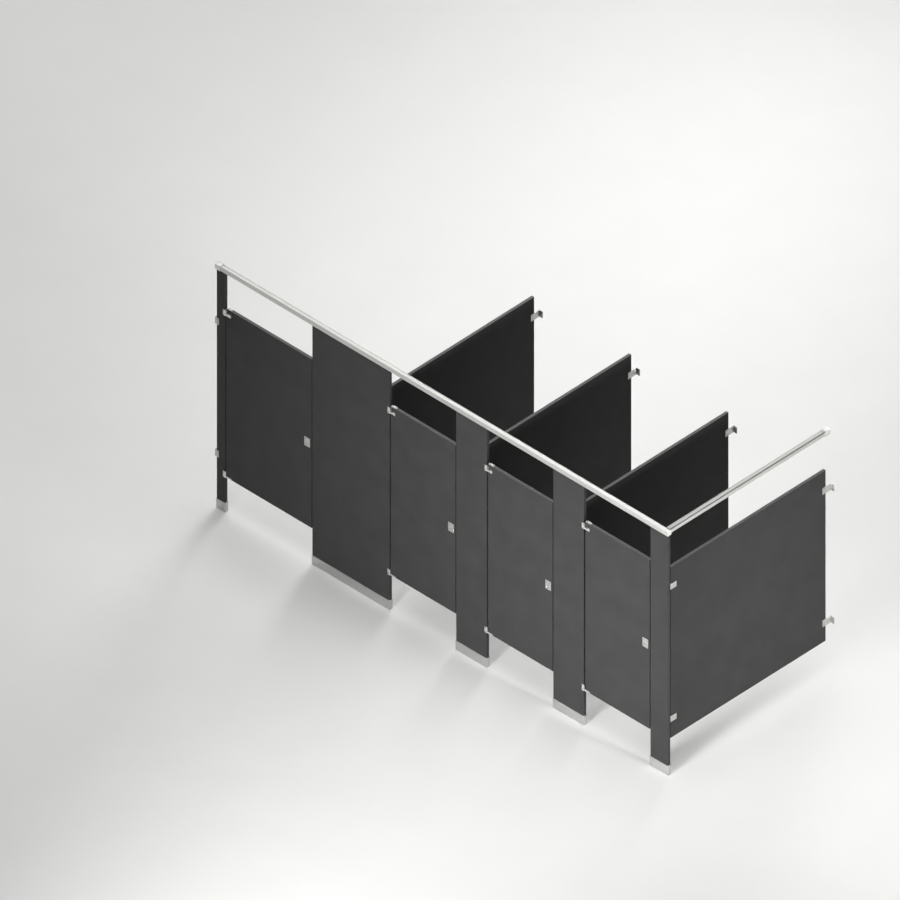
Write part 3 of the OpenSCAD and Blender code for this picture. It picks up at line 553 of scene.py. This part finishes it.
# The dome between its two edges, as shares of the head's radius, and its fall as a share of the height
DOME_INNER = 0.62
DOME_OUTER = 0.9
DOME_FALL = 0.3
RIM_R = 0.14 * HEAD_R
RIM_DROP = 0.5 * MM
# Where the rim starts, as a share of a quarter turn
RIM_FROM = 0.25
SEAT_EDGE = 0.2 * MM
DRIVE_R = 1.9 * MM
DRIVE_LOBE = 0.3 * MM
DRIVE_LOBES = 6
DRIVE_DEPTH = 1.5 * MM
# Bevel at the recess's mouth: its width, and how far its two edges lie under the top
MOUTH_W = 0.15 * MM
MOUTH_LOW = 0.2 * MM
MOUTH_HIGH = 0.08 * MM
PIN_R = 0.65 * MM
PIN_SINK = 0.45 * MM
SHANK_R = 2.5 * MM
SHANK_TIP = 0.6 * MM
TIP_SHARE = 0.6
SHANK_GAP = 0.1 * MM


def screw_form(reach):
    """Radii and heights of a domed head over its shank, with a six-lobed recess round a centre pin.

    The recess wall stands at DRIVE_R + DRIVE_LOBE * cos(DRIVE_LOBES * angle). The dome drops with the
    square of the radius, and its rim is part of an ellipse."""
    angle = np.linspace(0, 2 * math.pi, HEAD_SIDES, endpoint=False)
    one = np.ones(HEAD_SIDES)
    lobe = DRIVE_R + DRIVE_LOBE * np.cos(DRIVE_LOBES * angle)
    floor = HEAD_H - DRIVE_DEPTH
    dome = np.linspace(DOME_INNER, DOME_OUTER, HEAD_RINGS) * HEAD_R
    turn = np.linspace(RIM_FROM, 1, HEAD_RINGS) * math.pi / 2
    # The pin, the recess with a small bevel at its mouth, the dome, the rim, and the seat
    table = [(PIN_R * one, HEAD_H - PIN_SINK), (PIN_R * one, floor), (lobe, floor),
             (lobe, HEAD_H - MOUTH_LOW), (lobe + MOUTH_W, HEAD_H - MOUTH_HIGH)]
    table += [(r * one, HEAD_H * (1 - DOME_FALL * (r / HEAD_R) ** 2)) for r in dome]
    start = table[-1][1]
    table += [((HEAD_R - RIM_R + RIM_R * math.sin(t)) * one, start - RIM_DROP * (1 - math.cos(t)))
              for t in turn]
    table += [(HEAD_R * one, SEAT_EDGE), ((HEAD_R - SEAT_EDGE) * one, 0.0)]
    if reach > 0:
        table += [(SHANK_R * one, 0.0), (SHANK_R * one, SHANK_TIP - reach),
                  (TIP_SHARE * SHANK_R * one, -reach)]
    return np.stack([radii for radii, _ in table]), np.array([height for _, height in table])


def fastener(points):
    """Shells of one screw or bolt, read from its CAD solid.

    Its axis is the direction in which it doesn't measure a head's width. An end whose points reach
    out far enough gets a head, and the first head carries the shank."""
    low, high = points.min(axis=0), points.max(axis=0)
    axis = int(np.argmax(np.abs(high - low - 2 * HEAD_R)))
    middle = (low + high) / 2
    across = np.delete(points - middle, axis, axis=1)
    spread = np.linalg.norm(across, axis=1)
    shells = []
    for end, sign in ((low, -1.0), (high, 1.0)):
        at_end = np.abs(points[:, axis] - end[axis]) < SAME_PLANE
        if spread[at_end].max() < HEAD_FOUND:
            continue
        seat = middle.copy()
        seat[axis] = end[axis] - sign * HEAD_H
        direction = np.zeros(3)
        direction[axis] = sign
        reach = 0.0 if shells else high[axis] - low[axis] - HEAD_H - SHANK_GAP
        shells.append(shell(turned(seat, direction, *screw_form(reach))))
    return shells


def fasteners(node, body):
    """All the screws or bolts of one CAD node as one piece."""
    shells = [s for points in solids(node) for s in fastener(points)]
    piece(node + "_driven", shells, body, fastener_steel, node)


fasteners("pan_head_screws", "frame")
fasteners("through_bolts", "frame")
for number in DOORS:
    fasteners(f"door_screws_{number}", f"door_{number}")


# Levelling studs and nuts

THREAD_PITCH = 1.6 * MM
THREAD_DEPTH = 0.7 * MM
THREAD_SIDES = 20
RINGS_PER_TURN = 5
NUT_HOLE_R = 4.85 * MM
NUT_SIDES = 48
# Circles that hold the nut's corners near its faces, as shares of its corner radius, and how far from
# the face each lies, as shares of its height
NUT_CHAMFER = (0.86, 0.93, 1.01)
NUT_CHAMFER_AT = (0.0, 0.05, 0.14)


def threaded_bar(points):
    """Threaded bar: the radius falls from the crest by the thread's depth with the height's distance
    from the helix, whose height at an angle is pitch * (angle / full turn + whole number)."""
    low, high = points.min(axis=0), points.max(axis=0)
    crest = (high[0] - low[0]) / 2
    heights = np.arange(0, high[2] - low[2], THREAD_PITCH / RINGS_PER_TURN)
    share = np.linspace(0, 1, THREAD_SIDES, endpoint=False)
    phase = (heights[:, None] / THREAD_PITCH - share[None, :]) % 1
    radii = crest - THREAD_DEPTH * np.abs(2 * phase - 1)
    middle = (low + high) / 2
    return shell(turned((middle[0], middle[1], low[2]), (0, 0, 1), radii, heights))


def hexagon_nut(points):
    """Nut: a hexagon's radius is its half width over the cosine of the angle from the nearest flat's
    middle, and the chamfers hold it to a circle that narrows towards both faces."""
    low, high = points.min(axis=0), points.max(axis=0)
    corner = (high[0] - low[0]) / 2
    height = high[2] - low[2]
    angle = np.linspace(0, 2 * math.pi, NUT_SIDES, endpoint=False)
    from_flat = angle % (math.pi / 3) - math.pi / 6
    hexagon = corner * math.cos(math.pi / 6) / np.cos(from_flat)
    chamfer = np.array(NUT_CHAMFER) * corner
    drop = np.array(NUT_CHAMFER_AT) * height
    outer = np.minimum(hexagon, np.concatenate([chamfer, chamfer[::-1]])[:, None])
    hole = np.full((1, NUT_SIDES), NUT_HOLE_R)
    radii = np.concatenate([hole, outer, hole])
    levels = np.concatenate([[0], drop, height - drop[::-1], [height]])
    middle = (low + high) / 2
    return shell(turned((middle[0], middle[1], low[2]), (0, 0, 1), radii, levels), closed=True)


piece("levelling_studs_threaded", [threaded_bar(p) for p in solids("levelling_studs")], "frame",
      fastener_steel, "levelling_studs")
piece("levelling_nuts_chamfered", [hexagon_nut(p) for p in solids("levelling_nuts")], "frame",
      fastener_steel, "levelling_nuts")


# Latches

PLATE_T = 3.0 * MM
PLATE_CORNER = 4.0 * MM
PLATE_EDGE = 0.9 * MM
BUTTON_R = 7.0 * MM
BUTTON_T = 2.0 * MM
BUTTON_DROP = 12 * MM
BUTTON_SINK = 0.3 * MM
BUTTON_EDGE = 0.5 * MM
BUTTON_FACETS = 14
BUTTON_SLOT = 2.0 * MM
SLOT_FLOOR = 0.5 * MM
SLOT_WALL = 0.01 * MM
BOLT_EDGE = 0.8 * MM
BOLT_CORNER = 1.2 * MM
BOLT_EDGE_STEPS = 4
STEM_R = 4.5 * MM
STEM_SINK = 1.5 * MM
KNOB_RIM = 0.6 * MM
KNURLS = 24
KNURL_DEPTH = 0.35 * MM


def plate_shell(low, high):
    """Pressed plate: rounded-rectangle rings drawn in by a quarter circle at the front edge."""
    turn = np.linspace(0, math.pi / 2, BEND_STEPS)
    insets = np.concatenate([[0], PLATE_EDGE * (1 - np.cos(turn))])
    levels = np.concatenate([[0], PLATE_T - PLATE_EDGE * (1 - np.sin(turn))])
    w, h = high.x - low.x, high.z - low.z
    outlines = np.stack([rounded_rectangle(w - 2 * d, h - 2 * d, PLATE_CORNER - d) for d in insets])
    grid = np.empty((*outlines.shape[:2], 3))
    grid[:, :, 0] = outlines[:, :, 0] + (low.x + high.x) / 2
    grid[:, :, 1] = high.y - levels[:, None]
    grid[:, :, 2] = outlines[:, :, 1] + (low.z + high.z) / 2
    return shell(grid)


def button_shell(x, y, z):
    """Slotted button: at each place across it the section is a box as long as the circle's chord there,
    with its front corners cut, and it is lower inside the slot."""
    half_slot = BUTTON_SLOT / 2
    side = np.linspace(half_slot, 0.995 * BUTTON_R, BUTTON_FACETS)
    inside = half_slot - SLOT_WALL
    places = np.concatenate([-side[::-1], [-inside, inside], side])
    chord = np.sqrt(BUTTON_R ** 2 - places ** 2)
    tall = np.where(np.abs(places) < half_slot - SLOT_WALL / 2, SLOT_FLOOR, BUTTON_T)
    rim = np.minimum(BUTTON_EDGE, 0.4 * chord)
    cut = np.minimum(BUTTON_EDGE, 0.5 * tall)
    corners_z = np.stack([-chord, chord, chord, chord - rim, rim - chord, -chord], axis=1)
    corners_y = np.stack([0 * tall, 0 * tall, tall - cut, tall, tall, tall - cut], axis=1)
    grid = np.empty((len(places), 6, 3))
    grid[:, :, 0] = x + places[:, None]
    grid[:, :, 1] = y - corners_y
    grid[:, :, 2] = z + corners_z
    return shell(grid)


def latch_plate(k):
    """Outside plate with its slotted release button."""
    low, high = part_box(f"latch_plate_{k}")
    middle_x = (low.x + high.x) / 2
    button_z = (low.z + high.z) / 2 - BUTTON_DROP
    button = button_shell(middle_x, high.y - PLATE_T + BUTTON_SINK, button_z)
    piece(f"latch_plate_{k}_pressed", [plate_shell(low, high), button], f"door_{k}",
          plate_steel, f"latch_plate_{k}")


def bolt_shell(start, length, low, high):
    """Flat bolt along X between two corners of its section, with rounded edges.

    Its rings are rounded rectangles, drawn in by a quarter circle towards each end."""
    turn = np.linspace(0, math.pi / 2, BOLT_EDGE_STEPS)
    ease = BOLT_EDGE * (1 - np.sin(turn))
    level = BOLT_EDGE * (1 - np.cos(turn))
    insets = np.concatenate([ease, ease[::-1]])
    stations = np.concatenate([level, length - level[::-1]])
    deep, tall = high[1] - low[1], high[2] - low[2]
    outlines = np.stack([
        rounded_rectangle(deep - 2 * d, tall - 2 * d, BOLT_CORNER - d) for d in insets])
    grid = np.empty((*outlines.shape[:2], 3))
    grid[:, :, 0] = start + stations[:, None]
    grid[:, :, 1] = (low[1] + high[1]) / 2 + outlines[:, :, 0]
    grid[:, :, 2] = (low[2] + high[2]) / 2 + outlines[:, :, 1]
    return shell(grid)


def knob_shell(seat, radius, foot, top):
    """Knurled knob between two heights above its seat, on a stem that starts under the seat.

    The knob's radius dips by the knurl's depth with the cosine of KNURLS turns of the angle."""
    angle = np.linspace(0, 2 * math.pi, 4 * KNURLS, endpoint=False)
    knurl = KNURL_DEPTH * (0.5 - 0.5 * np.cos(KNURLS * angle))
    # Radius and height of each ring, with 1 where the knurl cuts in
    profile = [(STEM_R, -STEM_SINK, 0), (STEM_R, foot, 0), (radius - 0.8 * MM, foot, 0),
               (radius, foot + 0.8 * MM, 0), (radius, foot + 1.6 * MM, 0), (radius, foot + 2 * MM, 1),
               (radius, top - 3 * MM, 1), (radius, top - 2.6 * MM, 0), (radius, top - 1.2 * MM, 0),
               (radius - 0.35 * MM, top - 0.35 * MM, 0), (radius - 1.2 * MM, top, 0),
               (0.5 * radius, top, 0), (0.4 * radius, top - 0.4 * MM, 0)]
    radii = np.stack([r - cut * knurl for r, _, cut in profile])
    heights = np.array([h for _, h, _ in profile])
    return shell(turned(seat, (0, 1, 0), radii, heights))


def latch_bolt(k):
    """Bolt and knob as one piece, with their sizes read from the CAD solid.

    The points furthest to the rear are the knob's face, and those furthest to the right are the
    bolt's end. The knob's foot is where the points at its left rim come nearest to the door."""
    node = f"latch_bolt_{k}"
    points = np.concatenate(solids(node))
    low, high = points.min(axis=0), points.max(axis=0)
    face = points[points[:, 1] > high[1] - SAME_PLANE]
    centre = (face.min(axis=0) + face.max(axis=0)) / 2
    knob_r = (face[:, 0].max() - face[:, 0].min()) / 2
    end = points[np.abs(points[:, 0] - high[0]) < SAME_PLANE]
    end_low, end_high = end.min(axis=0), end.max(axis=0)
    knob_foot = points[np.abs(points[:, 0] - (centre[0] - knob_r)) < KNOB_RIM][:, 1].min()
    seat = end_high[1]
    bolt = bolt_shell(low[0], high[0] - low[0], end_low, end_high)
    knob = knob_shell((centre[0], seat, centre[2]), knob_r, knob_foot - seat, high[1] - seat)
    piece(f"latch_bolt_{k}_knurled", [bolt, knob], f"latch_{k}", fastener_steel, node)


for number in DOORS:
    latch_plate(number)
    latch_bolt(number)


# Fittings with rounded edges

for group, radius, finish in (
        ("headrail_sockets", 1.0, cast_aluminium), ("headrail_end_cap", 0.8, cast_aluminium),
        ("headrail_corner_bracket", 0.5, plate_steel), ("side_angle_brackets", 0.8, plate_steel),
        ("rear_angle_brackets", 0.8, plate_steel), ("channel_brackets", 0.8, plate_steel),
        ("foot_bars", 0.8, plate_steel), ("upper_hinge_brackets", 1.2, cast_steel),
        ("lower_hinge_brackets", 1.2, cast_steel), ("lower_hinge_pins", 0.8, fastener_steel),
        ("keepers", 1.0, cast_steel)):
    softened(group, radius * MM, "frame", finish)
for number in DOORS:
    softened(f"hinge_cap_{number}", 1.0 * MM, f"door_{number}", cast_steel)
    softened(f"latch_case_{number}", 1.2 * MM, f"door_{number}", cast_steel)


# Camera and stage

RUN_DEPTH = 1.6
VIEW_AZIMUTH = math.radians(44.22)
VIEW_ELEVATION = math.radians(37.64)
VIEW_WIDTH = 6.155
# Middle of the picture along the camera's right and up directions, from the corner of the run
VIEW_RIGHT = 1.605
VIEW_UP = 0.385
VIEW_BACK = 12.0
VIEW_REACH = 60


def camera():
    """Parallel view from the right and above, as in the photograph."""
    ca, sa = math.cos(VIEW_AZIMUTH), math.sin(VIEW_AZIMUTH)
    ce, se = math.cos(VIEW_ELEVATION), math.sin(VIEW_ELEVATION)
    right = np.array([ca, sa, 0])
    up = np.array([-sa * se, ca * se, ce])
    forward = np.array([-sa * ce, ca * ce, -se])
    corner = np.array([cad_box[0][0], cad_box[1][1] - RUN_DEPTH, 0])
    centre = (corner @ right + VIEW_RIGHT) * right + (corner @ up + VIEW_UP) * up
    data = bpy.data.cameras.new("camera")
    data.type = "ORTHO"
    data.ortho_scale = VIEW_WIDTH
    data.clip_end = VIEW_REACH
    made = placed("camera", data)
    columns = np.stack([right, up, -forward, centre - forward * VIEW_BACK], axis=1)
    made.matrix_world = Matrix(np.vstack([columns, [0, 0, 0, 1]]).tolist())
    bpy.context.scene.camera = made


def area_light(name, place, aim, size, power, spread):
    """Soft box at a place, turned to the point it aims at."""
    data = bpy.data.lights.new(name, "AREA")
    data.shape = "RECTANGLE"
    data.size, data.size_y = size
    data.energy = power
    data.spread = math.radians(spread)
    made = placed(name, data)
    made.location = place
    made.rotation_euler = (Vector(aim) - Vector(place)).to_track_quat("-Z", "Y").to_euler()
    made.visible_camera = False


GROUND_REACH = 200
GROUND_DROP = 0.5 * MM
GROUND_CLOUD = 0.4
AMBIENT = 0.07
BELOW_HORIZON = 0.5
# Name, place, aim, size and power of each lamp, and the spread in degrees that its grid lets out
LIGHTS = (
    ("front", (2.6, -10.0, 1.4), (1.6, -0.8, 1.1), (2.5, 2.0), 176, 50),
    ("side", (10.5, 0.2, 1.4), (2.15, -0.1, 1.0), (1.6, 2.0), 70, 45),
    ("top", (0.0, 0.0, 8.0), (0.0, 0.0, 0.0), (44, 44), 2500, 70),
    ("back", (-4.8, 5.2, 7.5), (0.3, 0.3, 1.2), (9, 6), 230, 180),
    ("rear", (-4.5, 9.0, 3.0), (-0.2, 0.6, 1.0), (4, 3), 85, 60),
)


def ground():
    """Pale, plain ground just under the run."""
    reach = GROUND_REACH
    corners = [(-reach, -reach), (reach, -reach), (reach, reach), (-reach, reach)]
    mesh = bpy.data.meshes.new("ground")
    mesh.from_pydata([(x, y, -GROUND_DROP) for x, y in corners], [], [(0, 1, 2, 3)])
    material, tree, place, _ = new_material("pale_ground")
    shade = stretched_noise(tree, place, (GROUND_CLOUD,) * 3, 2.0, 0.5)
    colour = blended(tree, shade, linear("#f3f3f1"), linear("#f7f7f5"))
    close(tree, add(tree, "ShaderNodeBsdfPrincipled", Base_Color=colour, Roughness=0.9,
                    Specular_IOR_Level=0.1))
    mesh.materials.append(material)
    made = placed("ground", mesh)


def surround():
    """Faint white light from all round. Under the horizon it is as pale as the ground, and the ground
    keeps that part of it off the run."""
    world = bpy.data.worlds.new("studio")
    bpy.context.scene.world = world
    world.use_nodes = True
    tree = world.node_tree
    tree.nodes.clear()
    direction = add(tree, "ShaderNodeTexCoord").outputs["Generated"]
    height = add(tree, "ShaderNodeSeparateXYZ", Vector=direction).outputs[2]
    strength = remap(tree, height, -0.02, -0.01, BELOW_HORIZON, AMBIENT)
    sky = add(tree, "ShaderNodeBackground", Color=linear("#ffffff"), Strength=strength)
    add(tree, "ShaderNodeOutputWorld", Surface=sky.outputs[0])


camera()
ground()
surround()
for light in LIGHTS:
    area_light(*light)
bpy.context.scene.view_settings.view_transform = "Standard"
